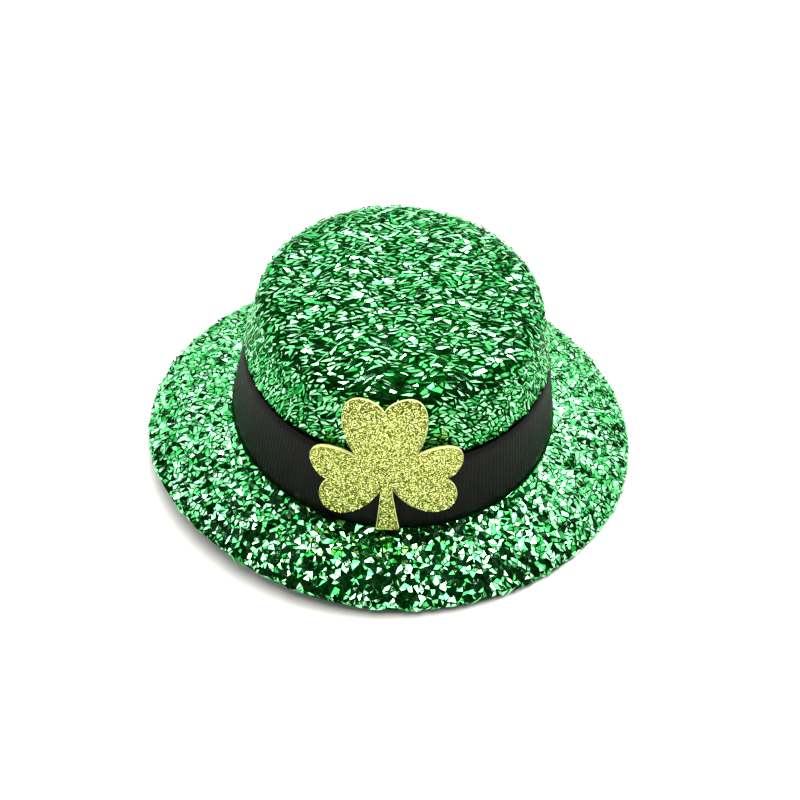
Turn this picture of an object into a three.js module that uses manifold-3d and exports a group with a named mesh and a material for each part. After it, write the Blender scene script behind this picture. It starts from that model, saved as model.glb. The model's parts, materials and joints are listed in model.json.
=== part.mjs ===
// A clip-on party hat: a small rounded hat of green foil cloth with a ribbon band, a foam shamrock
// on its front and a hair clip under its brim. Sizes are millimetres and +Z is up.
import * as THREE from "three";
import { mergeVertices } from "three/addons/utils/BufferGeometryUtils.js";
import { TessellateModifier } from "three/addons/modifiers/TessellateModifier.js";
import Module from "manifold-3d";

const wasm = await Module();
wasm.setup();

// Sizes of the hat in its own upright frame, where z = 0 is the top of the brim at the crown's foot
const ROUND_STEPS = 72;
const GAP = 0.3;

const CROWN_FOOT_RADIUS = 42.2;
const CROWN_HEIGHT = 44.2;
const CROWN_WALL = 1.8;
const WALL_LEAN = THREE.MathUtils.degToRad(8.8);
const SHOULDER_HEIGHT = 35.0;
const SHOULDER_FULLNESS = 2.8;
const SHOULDER_STEPS = 9;
// The crown is tied in by the band and swells over it: how far, and the heights where the swelling
// begins, is fullest and has gone
const SWELL = 1.3;
const SWELL_START = 21.5;
const SWELL_FULL = 23.6;
const SWELL_END = 33;
const SWELL_STEPS = 3;

const BRIM_WIDTH = 130;
const BRIM_DEPTH = 121.4;
const BRIM_FORWARD = 1.5;
const BRIM_OPENING_RADIUS = 39.4;
const BRIM_THICKNESS = 1.4;
// One row for each section of the brim: its share of the way out to the edge, and how far it has fallen
const BRIM_SECTIONS = [
  { share: 0.0, fall: 0.0 },
  { share: 0.16, fall: 0.0 },
  { share: 0.4, fall: 1.0 },
  { share: 0.62, fall: 2.7 },
  { share: 0.82, fall: 5.0 },
  { share: 1.0, fall: 7.6 },
];
// One row for each place where the soft edge strays from the oval: its bearing from +X, how wide a
// turn it takes in, how far it reaches further out and how far it lifts
const BRIM_STRAYS = [
  { bearing: -170, spread: 26, reach: 0.7, lift: 0.0 },
  { bearing: -130, spread: 26, reach: -0.6, lift: 0.8 },
  { bearing: -95, spread: 26, reach: 0.3, lift: -0.1 },
  { bearing: 60, spread: 26, reach: 0.2, lift: 0.0 },
  { bearing: 122, spread: 18, reach: -1.4, lift: 0.0 },
  { bearing: 148, spread: 26, reach: -0.4, lift: -0.4 },
];

const BAND_HEIGHT = 21.2;
const BAND_THICKNESS = 1.0;

const FOAM_THICKNESS = 1.0;
const FOAM_GAP = 1.1;
const FOAM_FOOT_HEIGHT = 1.6;
const FOAM_SIDE = 1.2;
const FOAM_BEND_RADIUS = 54;
const FOAM_LEAF_BEND_START = 25;
const FOAM_LEAF_BEND_RADIUS = 42;
const FOAM_EDGE_LENGTH = 3.2;
const FOAM_TURN = THREE.MathUtils.degToRad(4.8);
const LEAF_CENTRE_HEIGHT = 17;
// One row for each leaf: where it points, its length to the lobes, its width and where its notch lies
const LEAVES = [
  { name: "top", points: 90, length: 22.5, width: 20.8, notch: 19.3 },
  { name: "left", points: 190, length: 18.3, width: 20.6, notch: 14.8 },
  { name: "right", points: -7.5, length: 18.4, width: 20.8, notch: 14.7 },
];
const STEM_TOP_WIDTH = 2.2;
const STEM_MIDDLE_WIDTH = 3.4;
const STEM_FOOT_WIDTH = 5.7;
const STEM_CORNER = 0.7;

// The hat leans on its clip: it rests on the clip's squeeze pad and on the brim's right edge
const REST_ROLL = THREE.MathUtils.degToRad(3.2);
const REST_PITCH = THREE.MathUtils.degToRad(1.2);

const CLIP_LENGTH = 42;
const CLIP_WIDTH = 8;
const CLIP_HEIGHT = 11.1;
const CLIP_SHEET = 0.9;
const CLIP_FROM_AXIS = 47.2;
const CLIP_PAD_LENGTH = 7;
const CLIP_JAW_TIP_GAP = 0.7;
const CLIP_JAW_PIVOT_GAP = 3.0;
const CLIP_PIVOT_SHARE = 0.58;
const CLIP_PIVOT_LENGTH = 5;
const CLIP_TIP_ROUND = 3.4;

const FOIL_GREEN = { color: 0x2f9e58, roughness: 0.35, metalness: 0.5 };
const RIBBON_BLACK = { color: 0x211f1d, roughness: 0.6, metalness: 0.0 };
const GLITTER_GOLD = { color: 0xcdd06f, roughness: 0.45, metalness: 0.3 };
const CLIP_STEEL = { color: 0xb9bcc0, roughness: 0.3, metalness: 1.0 };

function closedBody(geometry) {
  const bare = geometry.clone();
  bare.deleteAttribute("normal");
  bare.deleteAttribute("uv");
  return mergeVertices(bare, 1e-4);
}

function toManifold(geometry) {
  const body = closedBody(geometry);
  const vertProperties = new Float32Array(body.attributes.position.array);
  const triVerts = new Uint32Array(body.index.array);
  return new wasm.Manifold(new wasm.Mesh({ numProp: 3, vertProperties, triVerts }));
}

function fromManifold(solid) {
  const mesh = solid.getMesh();
  const geometry = new THREE.BufferGeometry();
  geometry.setAttribute("position", new THREE.BufferAttribute(new Float32Array(mesh.vertProperties), 3));
  geometry.setIndex(new THREE.BufferAttribute(new Uint32Array(mesh.triVerts), 1));
  return geometry;
}

function piece(name, geometry, finish) {
  geometry.computeVertexNormals();
  const mesh = new THREE.Mesh(geometry, new THREE.MeshStandardMaterial(finish));
  mesh.name = name;
  return mesh;
}

// A profile of (radius, height) pairs turned about the upright axis
function turned(profile) {
  const points = profile.map(([radius, height]) => new THREE.Vector2(radius, height));
  return closedBody(new THREE.LatheGeometry(points, ROUND_STEPS).rotateX(Math.PI / 2));
}

function moveVertices(geometry, place) {
  const position = geometry.attributes.position;
  const point = new THREE.Vector3();
  for (let i = 0; i < position.count; i++) {
    place(point.fromBufferAttribute(position, i));
    position.setXYZ(i, point.x, point.y, point.z);
  }
  return geometry;
}

// Crown: a leaning wall that swells over the band, and a full shoulder that rounds into a nearly flat top
function wallRadius(height) {
  return CROWN_FOOT_RADIUS - height * Math.tan(WALL_LEAN);
}

function swell(height) {
  const rising = THREE.MathUtils.smoothstep(height, SWELL_START, SWELL_FULL);
  const falling = THREE.MathUtils.inverseLerp(SWELL_FULL, SWELL_END, height);
  return SWELL * (rising - THREE.MathUtils.clamp(falling, 0, 1));
}

function swellHeights() {
  const heights = [];
  for (let i = 0; i <= SWELL_STEPS; i++) {
    heights.push(THREE.MathUtils.lerp(SWELL_START, SWELL_FULL, i / SWELL_STEPS));
  }
  return [...heights, SWELL_END];
}

function crownProfile(inset) {
  const shoulderRadius = wallRadius(SHOULDER_HEIGHT) - inset;
  const rise = CROWN_HEIGHT - inset - SHOULDER_HEIGHT;
  const profile = [
    [wallRadius(0) - inset, GAP],
    ...swellHeights().map((height) => [wallRadius(height) + swell(height) - inset, height]),
  ];
  for (let i = 0; i <= SHOULDER_STEPS; i++) {
    const turn = (i / SHOULDER_STEPS) * (Math.PI / 2);
    const out = Math.cos(turn) ** (2 / SHOULDER_FULLNESS);
    const up = Math.sin(turn) ** (2 / SHOULDER_FULLNESS);
    profile.push([i === SHOULDER_STEPS ? 0 : shoulderRadius * out, SHOULDER_HEIGHT + rise * up]);
  }
  return profile;
}

function crownGeometry() {
  const inside = crownProfile(CROWN_WALL).reverse();
  return turned([...inside, ...crownProfile(0)]);
}

// Brim: a ring whose round opening widens to a soft oval edge, set forward and falling outwards
function edgeStray(angle) {
  const stray = { reach: 0, lift: 0 };
  for (const row of BRIM_STRAYS) {
    const away = THREE.MathUtils.radToDeg(angle) - row.bearing;
    const around = THREE.MathUtils.euclideanModulo(away + 180, 360) - 180;
    const weight = Math.exp(-((around / row.spread) ** 2));
    stray.reach += row.reach * weight;
    stray.lift += row.lift * weight;
  }
  return stray;
}

function brimGeometry() {
  const top = BRIM_SECTIONS.map(({ share, fall }) => [1 + share, -fall]);
  const under = BRIM_SECTIONS.map(({ share, fall }) => [1 + share, -fall - BRIM_THICKNESS]);
  const geometry = turned([...under, ...top.reverse(), under[0]]);
  return moveVertices(geometry, (point) => {
    const share = Math.hypot(point.x, point.y) - 1;
    const angle = Math.atan2(point.y, point.x);
    const { reach, lift } = edgeStray(angle);
    const across = THREE.MathUtils.lerp(BRIM_OPENING_RADIUS, BRIM_WIDTH / 2 + reach, share);
    const along = THREE.MathUtils.lerp(BRIM_OPENING_RADIUS, BRIM_DEPTH / 2 + reach, share);
    point.x = across * Math.cos(angle);
    point.y = along * Math.sin(angle) - share * BRIM_FORWARD;
    point.z += lift * share ** 2;
  });
}

// Band: a ribbon ring that follows the leaning wall
function bandGeometry() {
  const inner = (height) => wallRadius(height) + GAP;
  const outer = (height) => inner(height) + BAND_THICKNESS;
  const foot = GAP;
  const head = BAND_HEIGHT;
  return turned([
    [inner(foot), foot],
    [outer(foot), foot],
    [outer(head), head],
    [inner(head), head],
    [inner(foot), foot],
  ]);
}

// Shamrock: three heart leaves and a flared stem, cut flat, joined, then bent to the crown
function leafShape({ length, width, notch }) {
  const half = width / 2;
  const widest = length * 0.74;
  const lobe = half * 0.56;
  const shape = new THREE.Shape();
  shape.moveTo(0, 0);
  shape.bezierCurveTo(half * 0.58, length * 0.15, half, length * 0.46, half, widest);
  shape.bezierCurveTo(half, length * 0.9, half * 0.84, length, lobe, length);
  shape.bezierCurveTo(half * 0.3, length, half * 0.06, (length + notch) / 2, 0, notch);
  shape.bezierCurveTo(-half * 0.06, (length + notch) / 2, -half * 0.3, length, -lobe, length);
  shape.bezierCurveTo(-half * 0.84, length, -half, length * 0.9, -half, widest);
  shape.bezierCurveTo(-half, length * 0.46, -half * 0.58, length * 0.15, 0, 0);
  return shape;
}

function stemShape() {
  const foot = STEM_FOOT_WIDTH / 2;
  const middle = STEM_MIDDLE_WIDTH / 2;
  const top = STEM_TOP_WIDTH / 2;
  const head = LEAF_CENTRE_HEIGHT;
  const shape = new THREE.Shape();
  shape.moveTo(-foot + STEM_CORNER, 0);
  shape.lineTo(foot - STEM_CORNER, 0);
  shape.quadraticCurveTo(foot, 0, foot, STEM_CORNER);
  shape.quadraticCurveTo(middle, head / 2, top, head);
  shape.lineTo(-top, head);
  shape.quadraticCurveTo(-middle, head / 2, -foot, STEM_CORNER);
  shape.quadraticCurveTo(-foot, 0, -foot + STEM_CORNER, 0);
  return shape;
}

function cutFoam(shape) {
  return new THREE.ExtrudeGeometry(shape, { depth: FOAM_THICKNESS, bevelEnabled: false, curveSegments: 7 });
}

function shamrockGeometry() {
  let flat = toManifold(cutFoam(stemShape()));
  for (const leaf of LEAVES) {
    const cut = cutFoam(leafShape(leaf));
    cut.rotateZ(THREE.MathUtils.degToRad(leaf.points - 90)).translate(0, LEAF_CENTRE_HEIGHT, 0);
    flat = flat.add(toManifold(cut));
  }
  const fine = new TessellateModifier(FOAM_EDGE_LENGTH, 8).modify(fromManifold(flat).toNonIndexed());
  const foam = closedBody(fine).rotateZ(FOAM_TURN).translate(FOAM_SIDE, 0, 0);
  const footRadius = wallRadius(0) + GAP + BAND_THICKNESS + FOAM_GAP;
  return moveVertices(foam, (point) => {
    const { x: side, y: height, z: depth } = point;
    const sideTurn = side / FOAM_BEND_RADIUS;
    const curled = Math.max(0, height - FOAM_LEAF_BEND_START) / FOAM_LEAF_BEND_RADIUS;
    const lean = WALL_LEAN + curled;
    const straight = Math.min(height, FOAM_LEAF_BEND_START);
    const arc = FOAM_LEAF_BEND_RADIUS;
    const up = straight * Math.cos(WALL_LEAN) + arc * (Math.sin(lean) - Math.sin(WALL_LEAN));
    const back = straight * Math.sin(WALL_LEAN) + arc * (Math.cos(WALL_LEAN) - Math.cos(lean));
    const radius = FOAM_BEND_RADIUS + depth * Math.cos(lean);
    point.x = radius * Math.sin(sideTurn);
    point.y = FOAM_BEND_RADIUS - footRadius - radius * Math.cos(sideTurn) + back;
    point.z = FOAM_FOOT_HEIGHT + up + depth * Math.sin(lean);
  });
}

// Clip: a closed jaw clip of bent sheet seen from its side, then trimmed to a rounded tip from above
function clipGeometry() {
  const tip = -CLIP_LENGTH / 2;
  const tail = CLIP_LENGTH / 2;
  const pivot = tip + CLIP_LENGTH * CLIP_PIVOT_SHARE;
  const pad = tail - CLIP_PAD_LENGTH;
  const top = CLIP_HEIGHT;
  const leafUnder = top - CLIP_SHEET;
  const jawTip = leafUnder - CLIP_JAW_TIP_GAP;
  const jawPivot = leafUnder - CLIP_JAW_PIVOT_GAP;
  const side = new THREE.Shape([
    new THREE.Vector2(tip, top),
    new THREE.Vector2(tip, leafUnder),
    new THREE.Vector2(pivot, leafUnder),
    new THREE.Vector2(pivot, jawPivot),
    new THREE.Vector2(tip, jawTip),
    new THREE.Vector2(tip, jawTip - CLIP_SHEET),
    new THREE.Vector2(pivot + CLIP_PIVOT_LENGTH / 2, jawPivot - CLIP_SHEET),
    new THREE.Vector2(pad, 0),
    new THREE.Vector2(tail, 0),
    new THREE.Vector2(tail, CLIP_SHEET),
    new THREE.Vector2(pad + CLIP_SHEET / 2, CLIP_SHEET),
    new THREE.Vector2(pivot + CLIP_PIVOT_LENGTH, jawPivot),
    new THREE.Vector2(pivot + CLIP_PIVOT_LENGTH, leafUnder),
    new THREE.Vector2(tail - CLIP_SHEET, leafUnder),
    new THREE.Vector2(tail - CLIP_SHEET, top),
  ]);
  const sheet = new THREE.ExtrudeGeometry(side, { depth: CLIP_WIDTH, bevelEnabled: false });
  const sideways = new THREE.Matrix4().makeBasis(
    new THREE.Vector3(0, 1, 0),
    new THREE.Vector3(0, 0, 1),
    new THREE.Vector3(1, 0, 0),
  );
  sheet.applyMatrix4(sideways).translate(-CLIP_WIDTH / 2, 0, 0);

  const half = CLIP_WIDTH / 2;
  const plan = new THREE.Shape();
  plan.moveTo(-half, tail + 1);
  plan.lineTo(-half, tip + CLIP_TIP_ROUND);
  plan.quadraticCurveTo(-half, tip, 0, tip);
  plan.quadraticCurveTo(half, tip, half, tip + CLIP_TIP_ROUND);
  plan.lineTo(half, tail + 1);
  const trim = new THREE.ExtrudeGeometry(plan, { depth: CLIP_HEIGHT + 2, bevelEnabled: false, curveSegments: 5 });
  trim.translate(0, 0, -1);
  return fromManifold(toManifold(sheet).intersect(toManifold(trim)));
}

// Assembly: the hat is turned to its resting lean and set on the floor over the origin
const hat = new THREE.Group();
hat.name = "hat";
hat.add(
  piece("crown", crownGeometry(), FOIL_GREEN),
  piece("brim", brimGeometry(), FOIL_GREEN),
  piece("band", bandGeometry(), RIBBON_BLACK),
  piece("shamrock", shamrockGeometry(), GLITTER_GOLD),
);
hat.rotation.set(REST_PITCH, REST_ROLL, 0);
hat.updateMatrixWorld(true);
const rest = new THREE.Box3().setFromObject(hat, true);
const middle = rest.getCenter(new THREE.Vector3());
hat.position.set(-middle.x, -middle.y, -rest.min.z);
hat.updateMatrixWorld(true);

const clip = piece("clip", clipGeometry(), CLIP_STEEL);
const clipPlace = hat.localToWorld(new THREE.Vector3(-CLIP_FROM_AXIS, 0, 0));
clip.position.set(clipPlace.x, clipPlace.y, 0);

const part = new THREE.Group();
part.name = "clip_on_hat";
part.add(hat, clip);

export default part;
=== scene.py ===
# %% [markdown]
# A clip-on party hat. Its solids come from the imported model, in metres, standing on the floor at
# the origin. Everything that follows is built in the same frame, so nothing has to be fitted by
# eye.

import json
import math

import bpy
import numpy as np
from mathutils import Matrix, Vector
from mathutils.geometry import delaunay_2d_cdt

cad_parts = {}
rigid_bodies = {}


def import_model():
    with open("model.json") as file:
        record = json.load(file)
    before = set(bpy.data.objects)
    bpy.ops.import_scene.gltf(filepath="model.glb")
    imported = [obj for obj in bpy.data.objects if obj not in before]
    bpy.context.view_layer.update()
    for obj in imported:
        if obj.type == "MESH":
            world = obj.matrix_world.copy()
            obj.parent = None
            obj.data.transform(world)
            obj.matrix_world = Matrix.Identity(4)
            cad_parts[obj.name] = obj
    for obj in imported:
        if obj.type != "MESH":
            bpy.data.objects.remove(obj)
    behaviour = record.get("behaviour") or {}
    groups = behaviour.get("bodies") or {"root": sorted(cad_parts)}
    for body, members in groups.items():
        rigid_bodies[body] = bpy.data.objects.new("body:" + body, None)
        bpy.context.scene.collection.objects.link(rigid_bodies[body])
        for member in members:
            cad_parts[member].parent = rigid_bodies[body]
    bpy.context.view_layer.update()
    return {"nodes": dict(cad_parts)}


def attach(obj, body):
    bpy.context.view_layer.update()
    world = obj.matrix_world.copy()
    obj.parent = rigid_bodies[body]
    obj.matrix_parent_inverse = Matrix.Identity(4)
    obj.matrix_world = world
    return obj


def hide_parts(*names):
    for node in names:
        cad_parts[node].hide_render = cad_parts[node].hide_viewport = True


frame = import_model()
print("solids:", sorted(frame["nodes"]))

# %% [markdown]
# The hat rests at a lean: its left side is carried by the clip, its right side by the brim's own
# edge. It is easier to shape a hat that stands upright, so the pieces are drawn in millimetres in
# the hat's own frame, with the foot of the crown at height 0, and one matrix then sets them into
# the lean. Where that frame lies is read from the crown's solid.

# %% The hat's own upright frame
MM = 0.001
REST_ROLL = math.radians(3.2)
REST_PITCH = math.radians(1.2)
SOLID_GAP = 0.3

lean = Matrix.Rotation(REST_PITCH, 4, "X") @ Matrix.Rotation(REST_ROLL, 4, "Y")
crown_corners = frame["nodes"]["crown"].data.vertices
upright = np.array([lean.inverted() @ v.co for v in crown_corners]) / MM
foot_side, foot_depth = (upright.min(0) + upright.max(0))[:2] / 2
foot_height = upright[:, 2].min() - SOLID_GAP
crown_foot = lean @ Vector((foot_side * MM, foot_depth * MM, foot_height * MM))
HAT = Matrix.Translation(crown_foot) @ lean
hat_turn = np.array(HAT.to_3x3())


def to_room(points):
    """Points of the hat's frame in millimetres, as points of the room in metres."""
    return np.asarray(points, float) * MM @ hat_turn.T + np.array(crown_foot)


print("crown foot, mm:", [round(c / MM, 2) for c in crown_foot])

# %% [markdown]
# The camera looks down on the front of the hat from well above. It could be nudged into place by
# eye, but its height, roll and distance were worked out from the ovals of the brim, the band and
# the crown in the picture. It is aimed at the middle of the crown's foot, and a small shift sets
# that point at its own pixel of the picture.

# %% Camera
VIEW_RISE = 0.824
VIEW_ROLL = 0.082
VIEW_DISTANCE = 450.0
PIXELS_PER_MM = 3.68
PICTURE = 800.0
CENTRE = (393.03, 402.32)
SENSOR_WIDTH = 36.0
NEAREST_SEEN = 0.01

back = Vector((0, -math.cos(VIEW_RISE), math.sin(VIEW_RISE)))
level = Vector((1, 0, 0))
rise = back.cross(level)
across = level * math.cos(VIEW_ROLL) + rise * math.sin(VIEW_ROLL)
upward = rise * math.cos(VIEW_ROLL) - level * math.sin(VIEW_ROLL)
aim = Matrix((across, upward, back)).transposed()

lens = bpy.data.cameras.new("camera")
lens.sensor_width = SENSOR_WIDTH
lens.lens = PIXELS_PER_MM * VIEW_DISTANCE * SENSOR_WIDTH / PICTURE
lens.shift_x = (PICTURE / 2 - CENTRE[0]) / PICTURE
lens.shift_y = (CENTRE[1] - PICTURE / 2) / PICTURE
lens.clip_start = NEAREST_SEEN
camera = bpy.data.objects.new("camera", lens)
camera.matrix_world = HAT @ (Matrix.Translation(back * VIEW_DISTANCE * MM) @ aim.to_4x4())
bpy.context.scene.collection.objects.link(camera)
bpy.context.scene.camera = camera
print("camera:", [round(c, 3) for c in camera.location], "lens", round(lens.lens, 1))

# %% [markdown]
# A mesh in Blender is a list of points and a list of faces that name their corners by number.
# One helper makes an object from those two lists, given in the hat's frame. A piece can have
# several finishes, so each face may say which one it takes.

# %% Helper for meshes
def new_object(name, points, faces, finishes=(), of_face=None, smooth=True):
    """A mesh object from points in the hat's frame, with one finish index for each face."""
    mesh = bpy.data.meshes.new(name)
    mesh.from_pydata(to_room(points).tolist(), [], [list(map(int, f)) for f in faces])
    for finish in finishes:
        mesh.materials.append(finish)
    if of_face is not None:
        mesh.polygons.foreach_set("material_index", np.asarray(of_face, np.int32))
    mesh.polygons.foreach_set("use_smooth", np.full(len(mesh.polygons), smooth))
    mesh.update()
    made = bpy.data.objects.new(name, mesh)
    bpy.context.scene.collection.objects.link(made)
    return made


# %% [markdown]
# A material is a small graph, with textures on the left and one shader on the right. It could be
# drawn in the node editor, but the finishes of this hat are much alike, so short helpers add the
# nodes: one gives a cloudy value that stays on the piece, and others let the shader's colour,
# roughness and relief follow it.

# %% Helpers for finishes
def new_finish(name):
    """A material, with its node tree and its shader."""
    finish = bpy.data.materials.new(name)
    finish.use_nodes = True
    return finish, finish.node_tree, finish.node_tree.nodes["Principled BSDF"]


def add(tree, kind, links=(), **settings):
    """A node of a tree, with its settings, and with links or values for its inputs."""
    node = tree.nodes.new(kind)
    for key, value in settings.items():
        setattr(node, key, value)
    for key, source in links:
        socket = node.inputs[key]
        if isinstance(source, bpy.types.NodeSocket):
            tree.links.new(source, socket)
        else:
            socket.default_value = source
    return node


def surface_noise(tree, scale, detail):
    """A cloudy value that stays on the piece, by its own coordinates."""
    where = add(tree, "ShaderNodeTexCoord").outputs["Object"]
    links = [("Vector", where), ("Scale", scale), ("Detail", detail)]
    return add(tree, "ShaderNodeTexNoise", links).outputs["Fac"]


def paint(tree, shader, value, tones):
    """The shader's colour follows a value along a ramp of (place, colour) tones."""
    ramp = add(tree, "ShaderNodeValToRGB", [("Fac", value)])
    elements = ramp.color_ramp.elements
    while len(elements) < len(tones):
        elements.new(0.5)
    for element, (place, colour) in zip(elements, tones):
        element.position = place
        element.color = (*colour, 1.0)
    tree.links.new(ramp.outputs["Color"], shader.inputs["Base Color"])


def roughen(tree, shader, value, low, high):
    """The shader's roughness follows a value between two limits."""
    spread = add(tree, "ShaderNodeMapRange", [("Value", value), ("To Min", low), ("To Max", high)])
    tree.links.new(spread.outputs["Result"], shader.inputs["Roughness"])


def emboss(tree, shader, value, strength, depth):
    """Small relief on the surface from a value, as deep as depth in metres."""
    links = [("Height", value), ("Strength", strength), ("Distance", depth)]
    bump = add(tree, "ShaderNodeBump", links)
    tree.links.new(bump.outputs["Normal"], shader.inputs["Normal"])


def grained_finish(name, tones, scale, detail, roughness, strength, depth):
    """A finish whose colour, roughness and relief follow one fine grain, and its shader."""
    finish, tree, shader = new_finish(name)
    grain = surface_noise(tree, scale, detail)
    paint(tree, shader, grain, tones)
    roughen(tree, shader, grain, *roughness)
    emboss(tree, shader, grain, strength, depth)
    return finish, shader


# %% [markdown]
# The cloth of the hat is a green foil cloth: thousands of chopped foil chips are bonded to a deep
# green ground. One bumpy metal could stand for both, but each chip flashes by itself, so the
# chips and the ground have finishes of their own. The ground shows only in the gaps, as a rougher
# and darker foil. The chips are mirror-like metal under green lacquer, each in a tone that it
# carries as an attribute. The lacquer keeps them green at their edges too, so the tint for
# slanting views is set as well.

# %% Foil finishes
LACQUER_EDGE = (0.6, 0.92, 0.66, 1.0)
GROUND_TONES = [(0.3, (0.0001, 0.016, 0.0005)), (0.7, (0.0005, 0.05, 0.0016))]
# The low end of this ramp, about a third of the chips, is painted shade: those chips are dark green
# as if they lay in shadow. The rest is the foil's own varied tint.
FOIL_TINTS_AND_PAINTED_SHADE = [
    (0.0, (0.005, 0.22, 0.025)),
    (0.3, (0.075, 0.56, 0.15)),
    (1.0, (0.44, 0.95, 0.55)),
]


def foil_finish(name, tones, edge, metal=1.0):
    """Foil chips under coloured lacquer, each chip in its own tone."""
    finish, tree, shader = new_finish(name)
    chip = add(tree, "ShaderNodeAttribute", attribute_name="chip_tone")
    paint(tree, shader, chip.outputs["Fac"], tones)
    shader.inputs["Metallic"].default_value = metal
    shader.inputs["Specular Tint"].default_value = edge
    crinkle = surface_noise(tree, scale=600.0, detail=2.0)
    roughen(tree, shader, crinkle, low=0.05, high=0.16)
    emboss(tree, shader, crinkle, strength=0.12, depth=0.0004)
    return finish


foil_ground, shader = grained_finish(
    "foil cloth ground", GROUND_TONES,
    scale=900.0, detail=4.0, roughness=(0.35, 0.6), strength=0.6, depth=0.0004,
)
shader.inputs["Metallic"].default_value = 1.0
shader.inputs["Specular Tint"].default_value = LACQUER_EDGE
foil_green = foil_finish("green foil chips", FOIL_TINTS_AND_PAINTED_SHADE, LACQUER_EDGE)
print("finishes:", foil_ground.name, "and", foil_green.name)

# %% [markdown]
# The underside of the brim and the inside of the crown don't show in the picture. They are
# finished plainly, as a dark green felt. Real fibres would be the full way to make felt, but a
# fine fuzz of noise with a soft sheen is enough for a lining.

# %% Felt finish
FELT_TONES = [(0.3, (0.004, 0.05, 0.016)), (0.7, (0.012, 0.11, 0.04))]

felt_green, shader = grained_finish(
    "green felt lining", FELT_TONES,
    scale=1600.0, detail=5.0, roughness=(0.8, 1.0), strength=0.5, depth=0.0003,
)
shader.inputs["Sheen Weight"].default_value = 0.3
print("finish:", felt_green.name)

# %% [markdown]
# The crown is a moulded shell: a wall that leans in a little, a full round shoulder and a top
# that is nearly flat. The ribbon ties it in, so the wall stands out a little over the ribbon's
# upper edge. Its profile could be drawn as a curve, but here it is worked out row by row, so the
# same function gives the outside, the inside and, later, the skin that the chips lie on. The
# shoulder is a superellipse, the curve between an ellipse and a rectangle, because a plain arc
# would be too round.

# %% Crown profile
CROWN_FOOT_RADIUS = 42.2
CROWN_HEIGHT = 44.2
CROWN_WALL = 1.8
WALL_LEAN = math.radians(8.8)
SHOULDER_HEIGHT = 35.0
SHOULDER_FULLNESS = 2.8
SWELL = 1.3
SWELL_START, SWELL_FULL, SWELL_END = 21.5, 23.6, 33.0


def wall_radius(height):
    """Radius of the leaning wall, without its swell."""
    return CROWN_FOOT_RADIUS - height * math.tan(WALL_LEAN)


def swell(height):
    """How far the crown, tied in by the ribbon, stands out over it."""
    rising = np.clip((height - SWELL_START) / (SWELL_FULL - SWELL_START), 0, 1)
    falling = np.clip((height - SWELL_FULL) / (SWELL_END - SWELL_FULL), 0, 1)
    return SWELL * (rising**2 * (3 - 2 * rising) - falling)


def crown_profile(inset, foot=SOLID_GAP, wall_steps=48, shoulder_steps=20):
    """Radius and height from the foot of the crown to the middle of its top."""
    wall = np.linspace(foot, SHOULDER_HEIGHT, wall_steps)[:-1]
    rows = [(wall_radius(h) + swell(h) - inset, h) for h in wall]
    rise = CROWN_HEIGHT - inset - SHOULDER_HEIGHT
    reach = wall_radius(SHOULDER_HEIGHT) - inset
    for turn in np.linspace(0, math.pi / 2, shoulder_steps)[:-1]:
        out = math.cos(turn) ** (2 / SHOULDER_FULLNESS)
        up = math.sin(turn) ** (2 / SHOULDER_FULLNESS)
        rows.append((reach * out, SHOULDER_HEIGHT + rise * up))
    return rows + [(0.0, CROWN_HEIGHT - inset)]


outside = crown_profile(0.0)
print("crown profile:", len(outside), "rows")

# %% [markdown]
# Turned about the upright axis, the profile of the inside and then the outside closes into one
# shell. A Screw modifier would turn it as well, but here each face knows its row, so the inside
# gets felt and the outside foil. Where the profile meets the axis the ring is a single point, so
# the top has no hole.

# %% Crown shell
ROUND_STEPS = 144
ON_AXIS = 1e-6


def turned(profile, steps):
    """Points, faces and each face's row, of a profile turned about the upright axis."""
    points, rings = [], []
    for radius, height in profile:
        if radius < ON_AXIS:
            rings.append([len(points)] * steps)
            points.append((0.0, 0.0, height))
            continue
        rings.append(list(range(len(points), len(points) + steps)))
        turns = np.arange(steps) * 2 * math.pi / steps
        points += [(radius * math.cos(t), radius * math.sin(t), height) for t in turns]
    faces, rows = [], []
    for row, (low, high) in enumerate(zip(rings, rings[1:])):
        for i in range(steps):
            j = (i + 1) % steps
            faces.append(list(dict.fromkeys((low[i], low[j], high[j], high[i]))))
            rows.append(row)
    return points, faces, rows


inside = crown_profile(CROWN_WALL)[::-1]
points, faces, rows = turned(inside + outside, ROUND_STEPS)
of_face = [1 if row < len(inside) else 0 for row in rows]
crown_shell = new_object("crown_shell", points, faces, [foil_ground, felt_green], of_face)
print("crown shell:", len(faces), "faces")

# %% [markdown]
# The brim is a ring. Its opening is round, its edge is a soft oval that is set a little forward,
# and it falls away outwards, more and more steeply. It could be a flat ring bent by a Lattice,
# but a formula keeps it in step with the solid. A short table gives the fall along the way out.
# A second table gives the places where the soft edge strays from the oval: a bearing and a spread
# in degrees, then how far it strays outwards and upwards.

# %% Brim form
BRIM_WIDTH = 130.0
BRIM_DEPTH = 121.4
BRIM_FORWARD = 1.5
BRIM_OPENING_RADIUS = 39.4
BRIM_SHARES = (0.0, 0.16, 0.4, 0.62, 0.82, 1.0)
BRIM_FALLS = (0.0, 0.0, 1.0, 2.7, 5.0, 7.6)
BRIM_STRAYS = [
    (-170, 26, 0.7, 0.0),
    (-130, 26, -0.6, 0.8),
    (-95, 26, 0.3, -0.1),
    (60, 26, 0.2, 0.0),
    (122, 18, -1.4, 0.0),
    (148, 26, -0.4, -0.4),
]


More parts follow.
